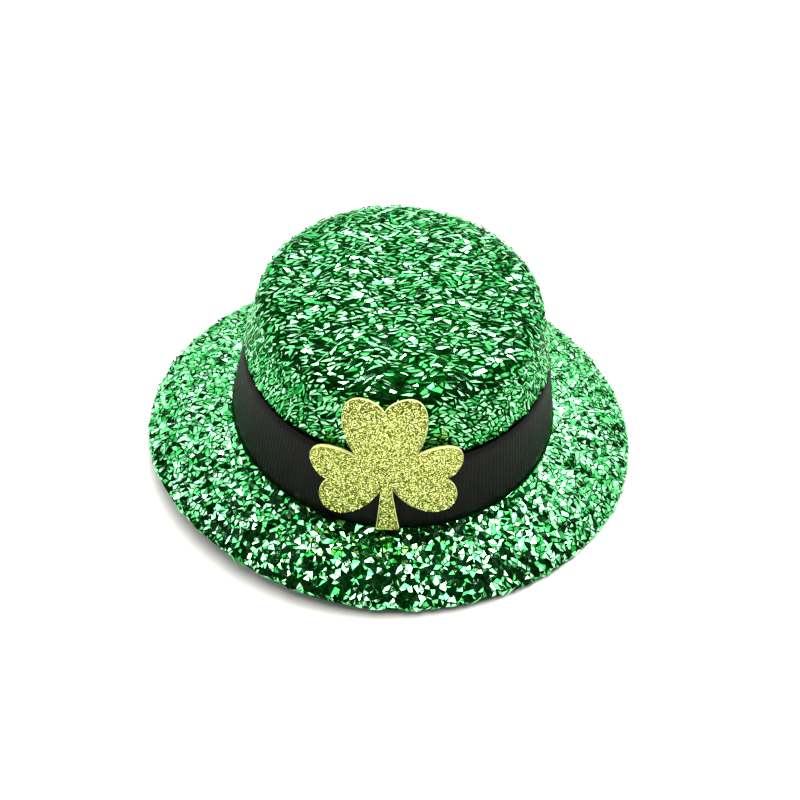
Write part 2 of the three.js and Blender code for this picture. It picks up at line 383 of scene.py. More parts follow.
def brim_point(share, bearing):
    """A point on the top of the brim, by its share of the way out and its bearing."""
    reach = lift = 0.0
    for place, spread, out, up in BRIM_STRAYS:
        away = (math.degrees(bearing) - place + 180) % 360 - 180
        weight = math.exp(-((away / spread) ** 2))
        reach += out * weight
        lift += up * weight
    side = BRIM_OPENING_RADIUS + (BRIM_WIDTH / 2 + reach - BRIM_OPENING_RADIUS) * share
    depth = BRIM_OPENING_RADIUS + (BRIM_DEPTH / 2 + reach - BRIM_OPENING_RADIUS) * share
    fall = float(np.interp(share, BRIM_SHARES, BRIM_FALLS))
    return (
        side * math.cos(bearing),
        depth * math.sin(bearing) - share * BRIM_FORWARD,
        lift * share**2 - fall,
    )


print("brim, right edge, mm:", [round(c, 1) for c in brim_point(1.0, 0.0)])

# %% [markdown]
# Rings of such points make the shell: under the brim from the opening outwards, round the lip, and
# back over the top. A Solidify modifier could give a sheet its thickness, but rings also round the
# lip, and the first rows, underneath, simply take the felt.

# %% Brim shell
BRIM_THICKNESS = 1.4
BRIM_ROWS = 18
LIP_ROUNDING = 0.012


def ring_tube(rings):
    """Points and faces of closed rings, each joined to the next and the last to the first."""
    steps = len(rings[0])
    faces = []
    for row in range(len(rings)):
        low, high = row * steps, (row + 1) % len(rings) * steps
        for i in range(steps):
            j = (i + 1) % steps
            faces.append((low + i, low + j, high + j, high + i))
    return [point for ring in rings for point in ring], faces


def brim_ring(share, drop):
    """A ring round the brim, a drop below its top."""
    return [tuple(np.array(brim_point(share, b)) - (0, 0, drop)) for b in bearings]


bearings = np.arange(ROUND_STEPS) * 2 * math.pi / ROUND_STEPS
shares = np.linspace(0, 1, BRIM_ROWS + 1)
under_rings = [brim_ring(s, BRIM_THICKNESS) for s in shares]
lip_ring = brim_ring(1.0 + LIP_ROUNDING, BRIM_THICKNESS / 2)
top_rings = [brim_ring(s, 0.0) for s in shares]
points, faces = ring_tube(under_rings + [lip_ring] + top_rings[::-1])
felt_faces = BRIM_ROWS * ROUND_STEPS
of_face = [1 if f < felt_faces else 0 for f in range(len(faces))]
brim_shell = new_object("brim_shell", points, faces, [foil_ground, felt_green], of_face)
print("brim shell:", len(faces), "faces")

# %% [markdown]
# Chips, ribs and glitter repeat by the thousand, so Geometry Nodes make them: trees of nodes that
# turn one geometry into another. Such a tree can be drawn by hand, but one that a script builds can
# be read line by line. These helpers add its sums, its attributes and its random values. The node
# for random values has other sockets for each kind of value, so a table holds their numbers: the
# least, the most and the result.

# %% Helpers for the nodes of a tree
RANDOM_SOCKETS = {"FLOAT": (2, 3, 1), "FLOAT_VECTOR": (0, 1, 0), "INT": (4, 5, 2)}
RANDOM_SEED_SOCKET = 8


def number_math(tree, operation, *terms):
    """A sum, product or other function of numbers."""
    return add(tree, "ShaderNodeMath", list(enumerate(terms)), operation=operation).outputs[0]


def vector_math(tree, operation, *terms):
    """A vector sum, difference, scaling or product of two terms."""
    keys = (0, "Scale") if operation == "SCALE" else (0, 1)
    node = add(tree, "ShaderNodeVectorMath", list(zip(keys, terms)), operation=operation)
    return node.outputs["Value" if operation == "DOT_PRODUCT" else "Vector"]


def chance(tree, seed, kind, low, high, offset):
    """A random value for each element, of its own seed."""
    least, most, result = RANDOM_SOCKETS[kind]
    own_seed = number_math(tree, "ADD", seed, offset)
    links = [(least, low), (most, high), (RANDOM_SEED_SOCKET, own_seed)]
    return add(tree, "FunctionNodeRandomValue", links, data_type=kind).outputs[result]


def carried(tree, name):
    """A number that each point of the base carries as an attribute."""
    links = [("Name", name)]
    return add(tree, "GeometryNodeInputNamedAttribute", links, data_type="FLOAT").outputs[0]


def toned(tree, geometry, domain, tone):
    """Geometry that carries a tone for each chip or grain, which the foil finish reads."""
    links = [("Geometry", geometry), ("Name", "chip_tone"), ("Value", tone)]
    settings = {"data_type": "FLOAT", "domain": domain}
    return add(tree, "GeometryNodeStoreNamedAttribute", links, **settings).outputs[0]


# %% [markdown]
# A tree starts with named inputs and ends in plain geometry of one finish. To use it, an object
# gets the tree as a modifier, and the inputs are set through the identifiers of their sockets.
# The result is kept as a plain mesh at once, because an export drops instances, and the base is
# thrown away.

# %% Helpers to start, close and use a tree
def new_tree(name, kinds):
    """An empty tree, the identifier of each of its inputs by name, and its input sockets."""
    tree = bpy.data.node_groups.new(name, "GeometryNodeTree")
    tree.interface.new_socket("Geometry", in_out="OUTPUT", socket_type="NodeSocketGeometry")
    sockets = {}
    for key, kind in kinds.items():
        socket = tree.interface.new_socket(key, in_out="INPUT", socket_type="NodeSocket" + kind)
        sockets[key] = socket.identifier
    return tree, sockets, add(tree, "NodeGroupInput").outputs


def close_tree(tree, geometry, finish):
    """The end of a tree: plain geometry in one finish."""
    real = add(tree, "GeometryNodeRealizeInstances", [("Geometry", geometry)]).outputs[0]
    dressed = add(tree, "GeometryNodeSetMaterial", [("Geometry", real), ("Material", finish)])
    leave = add(tree, "NodeGroupOutput")
    tree.links.new(dressed.outputs[0], leave.inputs[0])


def grown(name, base, tree, sockets, **values):
    """A plain mesh that a tree, given its inputs by name, makes from a base that is used up."""
    maker = base.modifiers.new("maker", "NODES")
    maker.node_group = tree
    for key, value in values.items():
        maker[sockets[key.replace("_", " ")]] = value
    ready = bpy.context.evaluated_depsgraph_get()
    mesh = bpy.data.meshes.new_from_object(
        base.evaluated_get(ready), preserve_all_data_layers=True, depsgraph=ready
    )
    base.modifiers.remove(maker)
    bpy.data.objects.remove(base)
    mesh.name = name
    made = bpy.data.objects.new(name, mesh)
    bpy.context.scene.collection.objects.link(made)
    print(name, len(mesh.polygons), "faces")
    return made


# %% [markdown]
# On the cloth the chips lie side by side like the shards of a broken pane, with narrow dark gaps.
# Chips strewn at random would overlap, so the tree makes them from a sheet whose faces are the
# shards: it parts the faces at their edges, and each is made smaller, spun, tipped, crumpled and
# lifted by chance. How freely a chip tips is read from an attribute of the sheet. The crown and
# the brim share the tree, with other values for its inputs.

# %% The chip tree
def chip_tree():
    """A tree that turns a sheet of shards into chips, and the identifiers of its inputs."""
    kinds = {
        "Sheet": "Geometry", "Least Share": "Float", "Most Share": "Float", "Spin": "Float",
        "Tip": "Vector", "Crumple": "Float", "Lift": "Float", "Seed": "Int",
        "Finish": "Material",
    }
    tree, sockets, given = new_tree("cut chips", kinds)
    seed = given["Seed"]

    def of_chip(kind, value):
        """A value that is the same all over a chip."""
        settings = {"data_type": kind, "domain": "FACE"}
        return add(tree, "GeometryNodeFieldOnDomain", [(0, value)], **settings).outputs[0]

    parted = add(tree, "GeometryNodeSplitEdges", [("Mesh", given["Sheet"])]).outputs[0]
    here = add(tree, "GeometryNodeInputPosition").outputs[0]
    middle = of_chip("FLOAT_VECTOR", here)
    normal = of_chip("FLOAT_VECTOR", add(tree, "GeometryNodeInputNormal").outputs[0])
    share = chance(tree, seed, "FLOAT", given["Least Share"], given["Most Share"], 1)
    reach = vector_math(tree, "SCALE", vector_math(tree, "SUBTRACT", here, middle), share)

    back_spin = number_math(tree, "MULTIPLY", given["Spin"], -1.0)
    spin = of_chip("FLOAT", chance(tree, seed, "FLOAT", back_spin, given["Spin"], 5))
    links = [("Vector", reach), ("Axis", normal), ("Angle", spin)]
    reach = add(tree, "ShaderNodeVectorRotate", links).outputs["Vector"]

    back_tip = vector_math(tree, "SCALE", given["Tip"], -1.0)
    slope = chance(tree, seed, "FLOAT_VECTOR", back_tip, given["Tip"], 2)
    looseness = of_chip("FLOAT", carried(tree, "looseness"))
    slope = vector_math(tree, "SCALE", of_chip("FLOAT_VECTOR", slope), looseness)
    climb = vector_math(tree, "DOT_PRODUCT", reach, slope)
    bend = chance(tree, seed, "FLOAT", 0.0, given["Crumple"], 3)
    height = number_math(tree, "ADD", number_math(tree, "ADD", climb, bend), given["Lift"])
    outward = vector_math(tree, "SCALE", normal, height)
    place = vector_math(tree, "ADD", vector_math(tree, "ADD", middle, reach), outward)
    links = [("Geometry", parted), ("Position", place)]
    moved = add(tree, "GeometryNodeSetPosition", links).outputs[0]
    tone = chance(tree, seed, "FLOAT", 0.0, 1.0, 4)
    close_tree(tree, toned(tree, moved, "FACE", tone), given["Finish"])
    return tree, sockets


chips, chip_inputs = chip_tree()
print("chip inputs:", list(chip_inputs))

# %% [markdown]
# The chips were chopped from foil, so they have three or four straight sides. Drawing them one by
# one would take days. Instead, points are sown over a flat sheet and joined into triangles, and
# neighbours are joined in pairs by chance, which gives a mix of both kinds with no overlap.

# %% Shards over a flat sheet
SAME_POINT = 1e-4


def corner_turn(a, b, c):
    """Twice the area of a flat triangle, positive where its corners run to the left round."""
    return (b[0] - a[0]) * (c[1] - a[1]) - (b[1] - a[1]) * (c[0] - a[0])


def shards_of(flat, draw):
    """Triangles over flat points, joined in pairs by chance where the pair has no dent."""
    _, _, found, *_ = delaunay_2d_cdt([Vector(p) for p in flat], [], [], 0, SAME_POINT)
    triangles = [tuple(t) if corner_turn(*flat[list(t)]) > 0 else tuple(t[::-1]) for t in found]
    owner = {(t[k], t[(k + 1) % 3]): t for t in triangles for k in range(3)}
    shared = [(a, b) for a, b in owner if a < b and (b, a) in owner]
    joined, shards = set(), []
    for k in draw.permutation(len(shared)):
        a, b = shared[k]
        left, right = owner[a, b], owner[b, a]
        tip = (set(left) - {a, b}).pop()
        toe = (set(right) - {a, b}).pop()
        free = left not in joined and right not in joined
        dent_free = all(corner_turn(*flat[list(c)]) > 0 for c in ((toe, b, tip), (tip, a, toe)))
        if free and dent_free:
            joined.update((left, right))
            shards.append((a, toe, b, tip))
    return shards + [t for t in triangles if t not in joined]


def cloth_sheet(name, points, faces, looseness):
    """A sheet to make chips from. Looseness is how freely the chips tip at each point."""
    sheet = new_object(name, points, faces, smooth=False)
    sheet.data.attributes.new("looseness", "FLOAT", "POINT").data.foreach_set("value", looseness)
    return sheet


# %% [markdown]
# The crown was pressed from one flat sheet of the cloth, so its chips are sown on a flat sheet
# too, in rows that run across the hat. The rows are strewn by chance, and a few long waves bend
# them gently to and fro, because straight rows would look woven.

# %% Rows of slivers on the crown's flat sheet
SLIVER_PITCH = (2.4, 0.85)
WALL_PITCH = (5.4, 1.8)
SLIVER_STRAY = 0.5
DRIFT_WAVES = 5
DRIFT_LENGTHS = (8.0, 26.0)
DRIFT_SLOPE = 0.11
DRIFT_CROSSING = 1.0
DRIFT_FADE = 8.0


def sown_rows(half, pitch, stray, draw):
    """Points in rows over a square, shifted from row to row and strewn by chance."""
    rows = np.arange(-half, half + pitch[1], pitch[1])
    places = np.arange(-half, half + pitch[0], pitch[0])
    side, depth = np.meshgrid(places, rows)
    side = side + draw.uniform(0, pitch[0], (len(rows), 1))
    sown = np.stack([side, depth], 2).reshape(-1, 2)
    return sown + draw.uniform(-stray, stray, sown.shape) * pitch


def drifted(sheet, radius, draw):
    """Points of a disc, moved by long crossing waves that die away at its hem."""
    moved = sheet.copy()
    room = np.clip((radius - np.hypot(*sheet.T)) / DRIFT_FADE, 0, 1)
    for _ in range(DRIFT_WAVES):
        length = draw.uniform(*DRIFT_LENGTHS)
        way = draw.uniform(-DRIFT_CROSSING, DRIFT_CROSSING)
        start = draw.uniform(0, 2 * math.pi)
        along = sheet @ (math.cos(way), math.sin(way))
        turn = 2 * math.pi * along / length + start
        moved[:, 1] += room * DRIFT_SLOPE * length / (2 * math.pi) * np.sin(turn)
    return moved


# %% [markdown]
# A disc of the sheet is laid over the crown so that each part keeps its area, as pressed cloth
# nearly does. That draws the chips out into upright slivers on the left and right of the wall
# and leaves them short and wide on its front. On the wall the cloth was pressed hardest, so more
# chips are sown there, which makes them smaller, and they tip less.

# %% Chips on the crown
BAND_HEIGHT = 21.2
BAND_CLEARANCE = 0.9
CROWN_CHIP_FOOT = BAND_HEIGHT + BAND_CLEARANCE
SKIN_CLEARANCE = 0.05
GRAIN_TURN = math.radians(9)
HEM_POINTS = 149
CALM_HEIGHTS = (27.0, 35.0)
CALM_LOOSENESS = 0.4
SOWING_SEED = 31

skin = crown_profile(-SKIN_CLEARANCE, foot=CROWN_CHIP_FOOT, shoulder_steps=40)
skin = np.array(skin)[::-1]
run = np.hypot(*np.diff(skin, axis=0).T)
skin_area = np.cumsum(math.pi * (skin[1:, 0] + skin[:-1, 0]) * run)
sheet_radius = np.sqrt(np.concatenate([[0.0], skin_area]) / math.pi)
sheet_hem = sheet_radius[-1]

draw = np.random.default_rng(SOWING_SEED)
sown = sown_rows(sheet_hem, SLIVER_PITCH, SLIVER_STRAY, draw)
wall_start = np.interp(-SHOULDER_HEIGHT, -skin[:, 1], sheet_radius)
wall_sown = sown_rows(sheet_hem, WALL_PITCH, SLIVER_STRAY, draw)
sown = np.concatenate([sown, wall_sown[np.hypot(*wall_sown.T) > wall_start]])
sown = sown[np.hypot(*sown.T) < sheet_hem - SLIVER_PITCH[1] / 2]
hem_turns = np.arange(HEM_POINTS) * 2 * math.pi / HEM_POINTS
hem = sheet_hem * np.stack([np.cos(hem_turns), np.sin(hem_turns)], 1)
flat_sheet = np.concatenate([sown, hem])
faces = shards_of(flat_sheet * (SLIVER_PITCH[1] / SLIVER_PITCH[0], 1.0), draw)

flat_sheet = drifted(flat_sheet, sheet_hem, draw)
from_middle = np.hypot(*flat_sheet.T)
bearing = np.arctan2(flat_sheet[:, 1], flat_sheet[:, 0]) + GRAIN_TURN
radius = np.interp(from_middle, sheet_radius, skin[:, 0])
height = np.interp(from_middle, sheet_radius, skin[:, 1])
points = np.stack([radius * np.cos(bearing), radius * np.sin(bearing), height], 1)
looseness = np.interp(height, CALM_HEIGHTS, (CALM_LOOSENESS, 1.0))
crown_chips = grown(
    "crown_chips",
    cloth_sheet("crown sheet", points, faces, looseness),
    chips, chip_inputs,
    Least_Share=0.38,
    Most_Share=0.98,
    Spin=0.36,
    Tip=(0.4, 0.4, 0.4),
    Crumple=0.16 * MM,
    Lift=0.3 * MM,
    Seed=3,
    Finish=foil_green,
)

# %% [markdown]
# The brim is cut from the same cloth, but its chips are rounder scraps and lie in no direction,
# so their points are sown in rings, as far apart along a ring as from ring to ring. They run from
# the foot of the ribbon to the lip at the edge, which is cut through the chips and so is a little
# ragged.

# %% Chips on the brim
BAND_FOOT_RADIUS = 43.62
FOOT_MARGIN = 0.3
FOOT_SEARCH = np.linspace(0, 0.5, 101)
LIP_SHARES = (1.0, 1.02)
LIP_DROPS = (0.2, 0.9)
LIP_POINTS = 240
SCRAP_PITCH = 1.2
SCRAP_STRAY = 0.5
LONGEST_SIDE = 5.0


def band_foot_share(bearing):
    """Where the brim comes out from under the ribbon, as a share of the way to its edge."""
    reached = [math.hypot(*brim_point(t, bearing)[:2]) for t in FOOT_SEARCH]
    return float(np.interp(BAND_FOOT_RADIUS, reached, FOOT_SEARCH))


def brim_places(row, rows, draw):
    """Points of the brim along one row, from the ribbon outwards. The first row lies still."""
    reach = BAND_FOOT_RADIUS + (BRIM_WIDTH / 2 - BAND_FOOT_RADIUS) * row / rows
    count = round(2 * math.pi * reach / SCRAP_PITCH)
    places = []
    for k in range(count):
        side_stray, out_stray = draw.uniform(-SCRAP_STRAY, SCRAP_STRAY, 2)
        bearing = 2 * math.pi * (k + row / 2 + side_stray) / count
        start = np.interp(bearing, bearings, foot_shares, period=2 * math.pi)
        out = row + out_stray if row else row
        places.append(brim_point(start + (1.0 - start) * out / rows, bearing))
    return places


foot_shares = [band_foot_share(b) for b in bearings]
scrap_rows = round((BRIM_WIDTH / 2 - BAND_FOOT_RADIUS) / SCRAP_PITCH)
places = [p for row in range(scrap_rows + 1) for p in brim_places(row, scrap_rows, draw)]
for k in range(LIP_POINTS):
    side, depth, height = brim_point(draw.uniform(*LIP_SHARES), 2 * math.pi * k / LIP_POINTS)
    places.append((side, depth, height - BRIM_THICKNESS * draw.uniform(*LIP_DROPS)))
points = np.array(places)
faces = []
for face in shards_of(points[:, :2], draw):
    corners = points[list(face), :2]
    longest = max(np.hypot(*(corners - np.roll(corners, 1, axis=0)).T))
    clear_of_ribbon = np.hypot(*corners.mean(0)) > BAND_FOOT_RADIUS - FOOT_MARGIN
    if longest < LONGEST_SIDE and clear_of_ribbon:
        faces.append(face)
brim_chips = grown(
    "brim_chips",
    cloth_sheet("brim sheet", points, faces, np.ones(len(points))),
    chips, chip_inputs,
    Least_Share=0.6,
    Most_Share=1.06,
    Spin=0.25,
    Tip=(0.3, 0.3, 0.3),
    Crumple=0.16 * MM,
    Lift=0.25 * MM,
    Seed=5,
    Finish=foil_green,
)

# %% [markdown]
# The band is a black grosgrain ribbon, a firm ribbon with fine upright ribs. Its finish is nearly
# matt, with a soft unevenness in its colour and gloss, and a much finer relief for its threads.

# %% Ribbon finish
RIBBON_TONES = [(0.25, (0.004, 0.0038, 0.0034)), (0.75, (0.008, 0.0075, 0.0066))]

ribbon_black, tree, shader = new_finish("black ribbon")
shade = surface_noise(tree, scale=260.0, detail=3.0)
paint(tree, shader, shade, RIBBON_TONES)
roughen(tree, shader, shade, low=0.42, high=0.6)
shader.inputs["Specular IOR Level"].default_value = 0.1
thread = surface_noise(tree, scale=2600.0, detail=3.0)
emboss(tree, shader, thread, strength=0.25, depth=0.0002)
print("finish:", ribbon_black.name)

# %% [markdown]
# The ribs could be painted as bump, but they are wide enough to show, so they are real: a small
# tree lifts a surface in even waves. It reads two attributes, the place along the ribbon, counted
# in ribs, and a share that is 0 where the ribbon stays smooth. The depth of the ribs is an input.

# %% The ribbing tree
def ribbing_tree():
    """A tree that lifts a surface in even ribs, and the identifiers of its inputs."""
    kinds = {"Ribbon": "Geometry", "Rib Depth": "Float", "Finish": "Material"}
    tree, sockets, given = new_tree("ribbon ribs", kinds)
    turn = number_math(tree, "MULTIPLY", carried(tree, "rib_place"), math.pi)
    ridge = number_math(tree, "ABSOLUTE", number_math(tree, "SINE", turn))
    deep = number_math(tree, "MULTIPLY", ridge, given["Rib Depth"])
    lift = number_math(tree, "MULTIPLY", deep, carried(tree, "rib_share"))
    normal = add(tree, "GeometryNodeInputNormal").outputs[0]
    links = [("Geometry", given["Ribbon"]), ("Offset", vector_math(tree, "SCALE", normal, lift))]
    ribbed = add(tree, "GeometryNodeSetPosition", links).outputs[0]
    close_tree(tree, ribbed, given["Finish"])
    return tree, sockets


ribs, rib_inputs = ribbing_tree()
print("rib inputs:", list(rib_inputs))

# %% [markdown]
# The band itself is a ring just clear of the crown, following the lean of its wall. Its two edges
# dip a little, as pressed ribbon does, and at the back its end laps over its start, which makes a
# slight step. There are a few points to each rib, so that the waves come out round.

# %% Ribbon band
BAND_THICKNESS = 1.0
BAND_ROWS = 9
EDGE_DIP = 0.22
RIB_COUNT = 228
RIB_DEPTH = 0.13
STEPS_PER_RIB = 8
LAP_BEARING = 90.0
LAP_WIDTH = 9.0
LAP_SLOPE = 1.2
LAP_DEPTH = 0.35

band_steps = RIB_COUNT * STEPS_PER_RIB
turns = np.arange(band_steps) * 2 * math.pi / band_steps


def ribbon_ring(height, out):
    """A ring of the ribbon, with the step where its end laps over its start."""
    away = np.abs((np.degrees(turns) - LAP_BEARING + 180) % 360 - 180)
    lap = LAP_DEPTH * np.clip((LAP_WIDTH - away) / LAP_SLOPE, 0, 1) * (out > SOLID_GAP)
    radius = wall_radius(height) + out + lap
    level = np.full(band_steps, height)
    return np.stack([radius * np.cos(turns), radius * np.sin(turns), level], 1)


outer = SOLID_GAP + BAND_THICKNESS - RIB_DEPTH / 2
heights = np.linspace(SOLID_GAP, BAND_HEIGHT, BAND_ROWS)
rings = [ribbon_ring(SOLID_GAP, SOLID_GAP)]
for k, height in enumerate(heights):
    at_edge = k in (0, BAND_ROWS - 1)
    rings.append(ribbon_ring(height, outer - EDGE_DIP * at_edge))
rings.append(ribbon_ring(BAND_HEIGHT, SOLID_GAP))
points, faces = ring_tube([list(map(tuple, ring)) for ring in rings])
smooth_band = new_object("smooth band", points, faces, [ribbon_black])
rib_place = np.tile(np.arange(band_steps) / STEPS_PER_RIB, len(rings))
rib_share = np.zeros(len(points))
rib_share[2 * band_steps : -2 * band_steps] = 1.0
for key, values in (("rib_place", rib_place), ("rib_share", rib_share)):
    attribute = smooth_band.data.attributes.new(key, "FLOAT", "POINT")
    attribute.data.foreach_set("value", values.astype(np.float32))

ribbon_band = grown(
    "ribbon_band", smooth_band, ribs, rib_inputs,
    Rib_Depth=RIB_DEPTH * MM,
    Finish=ribbon_black,
)
print("ribbon:", RIB_COUNT, "ribs")

# %% [markdown]
# The shamrock is cut from glitter foam, one millimetre thick. Three finishes make it: the face
# under the glitter, which shows only as dark specks between the grains, the pale foam of the rim
# where it was cut, and the lime gold grains, which are foil chips in another lacquer.

# %% Foam finishes
FACE_TONES = [(0.35, (0.04, 0.05, 0.001)), (0.65, (0.22, 0.27, 0.012))]
RIM_TONES = [(0.3, (0.72, 0.74, 0.25)), (0.7, (0.86, 0.87, 0.38))]
# The low end of this ramp is painted shade: some grains are olive dark as if they mirrored the dark
# room. The rest is the glitter's own lime gold tint.
GOLD_TINTS_AND_PAINTED_SHADE = [
    (0.0, (0.24, 0.29, 0.012)),
    (0.3, (0.77, 0.84, 0.21)),
    (1.0, (0.92, 0.95, 0.42)),
]
GOLD_EDGE = (1.0, 1.0, 0.5, 1.0)

foam_face, shader = grained_finish(
    "glitter foam face", FACE_TONES,
    scale=1500.0, detail=3.0, roughness=(0.3, 0.55), strength=0.6, depth=0.0003,
)
shader.inputs["Metallic"].default_value = 0.5
foam_cut, _ = grained_finish(
    "cut foam rim", RIM_TONES,
    scale=2200.0, detail=3.0, roughness=(0.6, 0.85), strength=0.4, depth=0.0002,
)
foil_gold = foil_finish("lime gold glitter", GOLD_TINTS_AND_PAINTED_SHADE, GOLD_EDGE, metal=0.85)
print("finishes:", foam_face.name, foam_cut.name, foil_gold.name)

# %% [markdown]
# Three heart leaves and a flared stem are one sheet. Each leaf is drawn from three curves to a
# side, with their control points as shares of its length and half its width, and the stem from a
# few curves more. They could be traced by hand, but shares let one function draw all three leaves.
# The table of leaves gives the way that each points in degrees, its length, its width and how far
# out its notch lies.

# %% Outlines of the leaves and the stem
LEAF_CENTRE_HEIGHT = 17.0
LEAVES = [(90, 22.5, 20.8, 19.3), (190, 18.3, 20.6, 14.8), (-7.5, 18.4, 20.8, 14.7)]
LEAF_FLARE = (0.58, 0.15)
LEAF_CHEEK = 0.46
LEAF_WIDEST = 0.74
LOBE_CORNER = (0.84, 0.9)
LOBE_TOP = 0.56
NOTCH_SIDES = (0.3, 0.06)
STEM_TOP_WIDTH = 2.2
STEM_MIDDLE_WIDTH = 3.4
STEM_FOOT_WIDTH = 5.7
STEM_CORNER = 0.7
CURVE_STEPS = 14


def curve(*controls):
    """Points along a curve with two to four control points, without its last one."""
    t = np.linspace(0, 1, CURVE_STEPS + 1)[:-1, None]
    n = len(controls) - 1
    weights = [math.comb(n, k) * (1 - t) ** (n - k) * t**k for k in range(n + 1)]
    return sum(weight * np.array(c, float) for weight, c in zip(weights, controls))


def spun(points, turn):
    """Flat points, turned to the left about the origin."""
    return points @ np.array([[math.cos(turn), math.sin(turn)], [-math.sin(turn), math.cos(turn)]])


def leaf_side(half, length, notch):
    """Control points of the curves up one side of a leaf, from its foot to its notch."""
    widest, lobe, middle = length * LEAF_WIDEST, half * LOBE_TOP, (length + notch) / 2
    flare = (half * LEAF_FLARE[0], length * LEAF_FLARE[1])
    cheek, brow = (half, length * LEAF_CHEEK), (half, length * LOBE_CORNER[1])
    notch_top, notch_side = (half * NOTCH_SIDES[0], length), (half * NOTCH_SIDES[1], middle)
    return [
        [(0, 0), flare, cheek, (half, widest)],
        [(half, widest), brow, (half * LOBE_CORNER[0], length), (lobe, length)],
        [(lobe, length), notch_top, notch_side, (0, notch)],
    ]


def leaf_outline(points_to, length, width, notch):
    """The outline of a heart leaf, up its right side and down its left."""
    right = [curve(*controls) for controls in leaf_side(width / 2, length, notch)]
    left = [curve(*controls[::-1]) for controls in leaf_side(-width / 2, length, notch)[::-1]]
    flat = np.concatenate(right + left)
    return spun(flat, math.radians(points_to - 90)) + (0, LEAF_CENTRE_HEIGHT)


def stem_outline():
    """The outline of the stem, which flares to a foot with rounded corners."""
    foot, middle, top = STEM_FOOT_WIDTH / 2, STEM_MIDDLE_WIDTH / 2, STEM_TOP_WIDTH / 2
    flat_foot, head = foot - STEM_CORNER, LEAF_CENTRE_HEIGHT
    return np.concatenate([
        curve((-flat_foot, 0), (flat_foot, 0)),
        curve((flat_foot, 0), (foot, 0), (foot, STEM_CORNER)),
        curve((foot, STEM_CORNER), (middle, head / 2), (top, head)),
        curve((top, head), (-top, head)),
        curve((-top, head), (-middle, head / 2), (-foot, STEM_CORNER)),
        curve((-foot, STEM_CORNER), (-foot, 0), (-flat_foot, 0)),
    ])


outlines = [leaf_outline(*leaf) for leaf in LEAVES] + [stem_outline()]
print("outlines:", [len(outline) for outline in outlines], "points")

# %% [markdown]
# The outlines overlap. A Boolean modifier could join them, but one call joins them and fills them
# with triangles as well. A grid of points inside keeps the triangles small enough to bend.

# %% Shamrock sheet, flat
GRID_STEP = (1.4, 1.25)
GRID_HALF_WIDTH = 22.0
GRID_HEIGHTS = (0.7, 42.0)
SAME_CORNER = 0.02


def only_used(points, faces):
    """The points that the faces use, and the faces with their corners numbered anew."""
    used = np.unique(np.concatenate([np.array(face) for face in faces]))
    number = {int(old): new for new, old in enumerate(used)}
    return points[used], [[number[int(corner)] for corner in face] for face in faces]


corners, loops = [], []
for outline in outlines:
    loops.append(list(range(len(corners), len(corners) + len(outline))))
    corners += [Vector(p) for p in outline]
inner_grid = [
    Vector((x + GRID_STEP[0] / 2 * (row % 2), y))
    for row, y in enumerate(np.arange(*GRID_HEIGHTS, GRID_STEP[1]))
    for x in np.arange(-GRID_HALF_WIDTH, GRID_HALF_WIDTH, GRID_STEP[0])
]
flat, _, cut, *_ = delaunay_2d_cdt(corners + inner_grid, [], loops, 1, SAME_CORNER)
flat, cut = only_used(np.array(flat), cut)
cut = [t if corner_turn(*flat[t]) > 0 else t[::-1] for t in cut]
print("flat shamrock:", len(flat), "points,", len(cut), "triangles")

# %% [markdown]
# The foam is glued on and bends round the band and over the shoulder. A Curve modifier bends one
# way only, so a function bends each point both ways. The sheet gets its thickness from a few
# levels of the same outline, each a little wider or narrower, which rounds its rim. The table of
# levels gives their depth in the foam and how far the rim bulges there. The top is the glitter
# face, and all the rest is bare foam.

# %% Shamrock, bent to the crown
FOAM_THICKNESS = 1.0
FOAM_GAP = 1.1
FOAM_FOOT_HEIGHT = 1.6
FOAM_SIDE = 1.2
FOAM_TURN = math.radians(4.8)
FOAM_BEND_RADIUS = 54.0
FOAM_LEAF_BEND_START = 25.0
FOAM_LEAF_BEND_RADIUS = 42.0
RIM_LEVELS = [(0.0, 0.0), (0.4, 0.04), (0.8, 0.02), (0.95, -0.05), (1.0, -0.14)]
NO_LENGTH = 1e-9


def rim_edges(triangles):
    """Edges of the outside of a flat set of triangles, each with the sheet on its left."""
    sides = {(t[i], t[(i + 1) % 3]) for t in triangles for i in range(3)}
    return [(a, b) for a, b in sides if (b, a) not in sides]


def bent(side, height, depth):
    """A point of the flat foam, bent round the band and over the shoulder."""
    foot_radius = wall_radius(0) + SOLID_GAP + BAND_THICKNESS + FOAM_GAP
    curl = FOAM_LEAF_BEND_RADIUS
    turn = side / FOAM_BEND_RADIUS
    tilt = WALL_LEAN + np.maximum(0, height - FOAM_LEAF_BEND_START) / curl
    straight = np.minimum(height, FOAM_LEAF_BEND_START)
    up = straight * math.cos(WALL_LEAN) + curl * (np.sin(tilt) - math.sin(WALL_LEAN))
    inward = straight * math.sin(WALL_LEAN) + curl * (math.cos(WALL_LEAN) - np.cos(tilt))
    radius = FOAM_BEND_RADIUS + depth * np.cos(tilt)
    front = FOAM_BEND_RADIUS - foot_radius - radius * np.cos(turn) + inward
    return np.stack(
        [radius * np.sin(turn), front, FOAM_FOOT_HEIGHT + up + depth * np.sin(tilt)], 1
    )


def laid(points, depth):
    """Flat points at a depth of the foam, turned and bent into place."""
    side, height = (spun(points, FOAM_TURN) + (FOAM_SIDE, 0)).T
    return bent(side, height, np.full(len(points), depth))


edges = rim_edges(cut)
out = np.zeros_like(flat)
for a, b in edges:
    run = flat[b] - flat[a]
    away = np.array([run[1], -run[0]]) / max(np.linalg.norm(run), NO_LENGTH)
    out[a] += away
    out[b] += away
out /= np.maximum(np.linalg.norm(out, axis=1, keepdims=True), NO_LENGTH)

